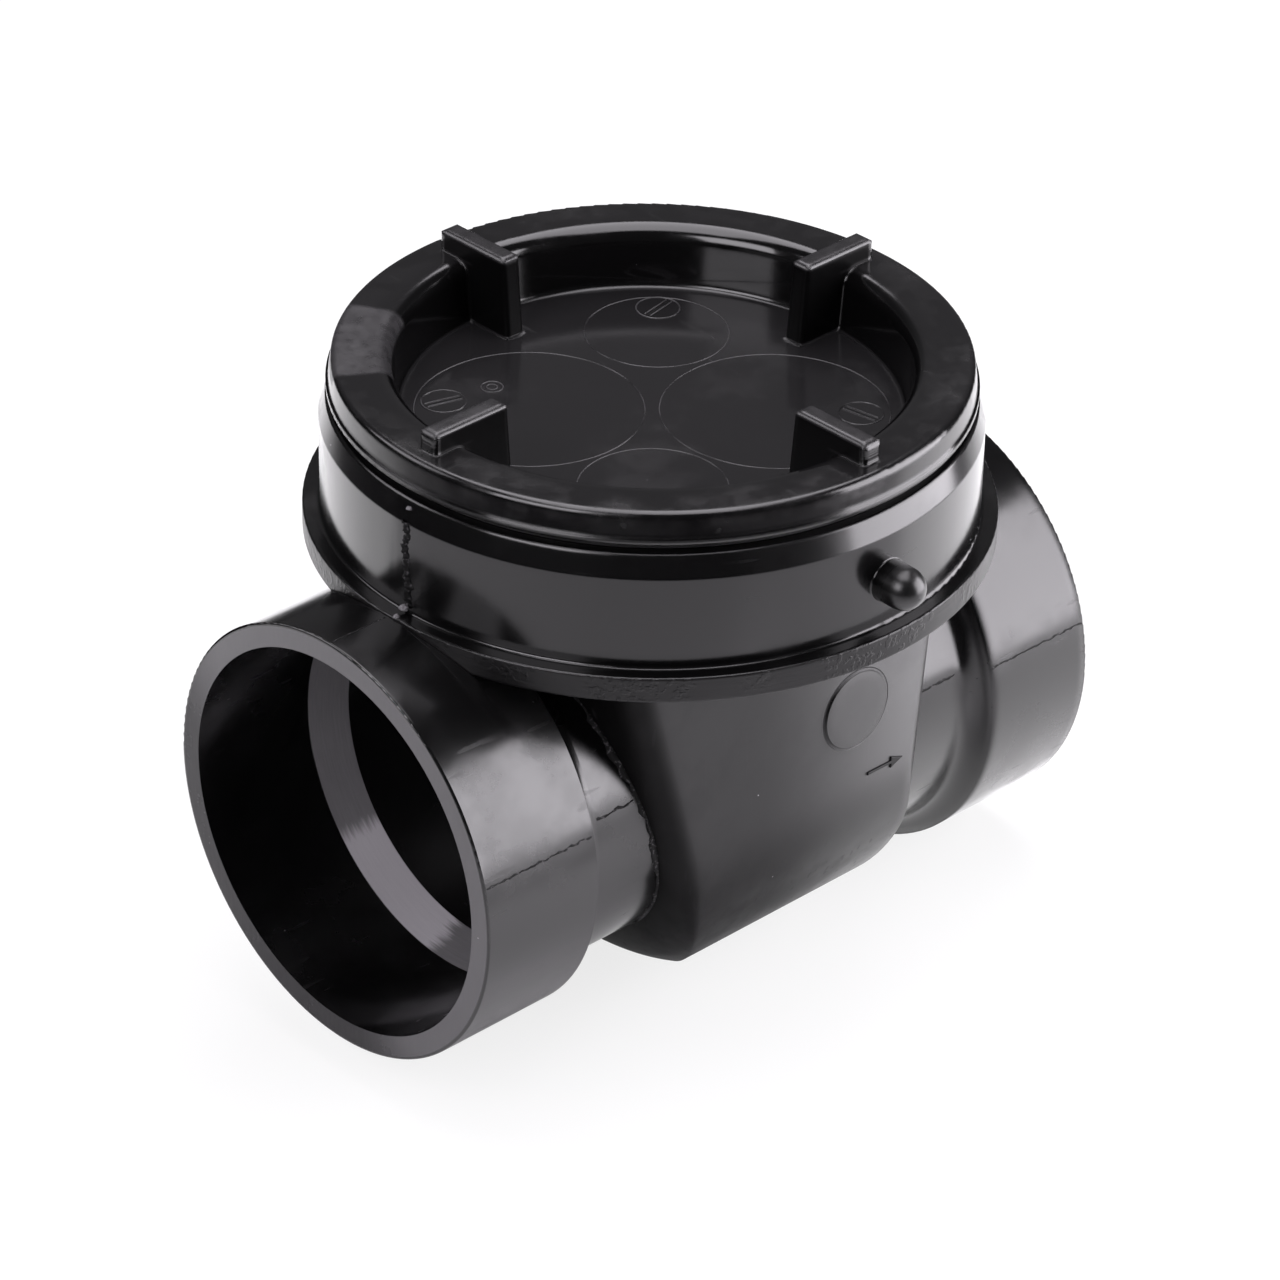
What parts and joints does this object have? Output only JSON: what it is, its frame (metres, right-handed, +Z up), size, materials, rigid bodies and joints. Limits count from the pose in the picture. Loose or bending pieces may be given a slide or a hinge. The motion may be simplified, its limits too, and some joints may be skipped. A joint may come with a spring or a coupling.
{
  "type": "backwater valve",
  "caption": "Moulded black drain valve with a pipe socket at each end, a sloped seat closed by a hinged flapper, and a round screwed access cover on a flanged neck.",
  "frame": {"origin": "centre of the inlet socket's mouth, on the inlet axis", "axes": "+X along the flow from inlet to outlet, +Z up through the access cover, +Y to the left of the flow"},
  "size_m": [0.234, 0.2018, 0.1933],
  "materials": {
    "body_plastic": "glossy moulded black",
    "cover_plastic": "glossy moulded black",
    "flapper_plastic": "satin moulded black",
    "seal_rubber": "soft black rubber",
    "steel": "stainless"
  },
  "bodies": {
    "valve_body": {"inlet_hub": "body_plastic", "outlet_hub": "body_plastic", "chamber": "body_plastic", "access_neck": "body_plastic", "hinge_pin": "steel"},
    "flapper": {"flapper": "flapper_plastic", "flapper_seal": "seal_rubber", "seal_retainer": "flapper_plastic", "retainer_screws": "steel"},
    "cover_gasket": {"cover_gasket": "seal_rubber"},
    "cover": {"cover": "cover_plastic"}
  },
  "joints": [
    {"name": "flapper_swing", "type": "hinge", "parent": "valve_body", "child": "flapper", "pos_m": [0.06358, 0, 0.06176], "axis": [0, -1, 0], "range_deg": [0, 36]},
    {"name": "cover_lift", "type": "slide", "parent": "valve_body", "child": "cover_gasket", "axis": [0, 0, 1], "range_m": [0, 0.012]},
    {"name": "cover_turn", "type": "hinge", "parent": "cover_gasket", "child": "cover", "pos_m": [0.118, 0, 0.1], "axis": [0, 0, 1], "range_deg": [0, 720]}
  ],
  "couplings": [
    {"joint": "cover_lift", "follows": "cover_turn", "m_per_rad": 0.00095492}
  ]
}
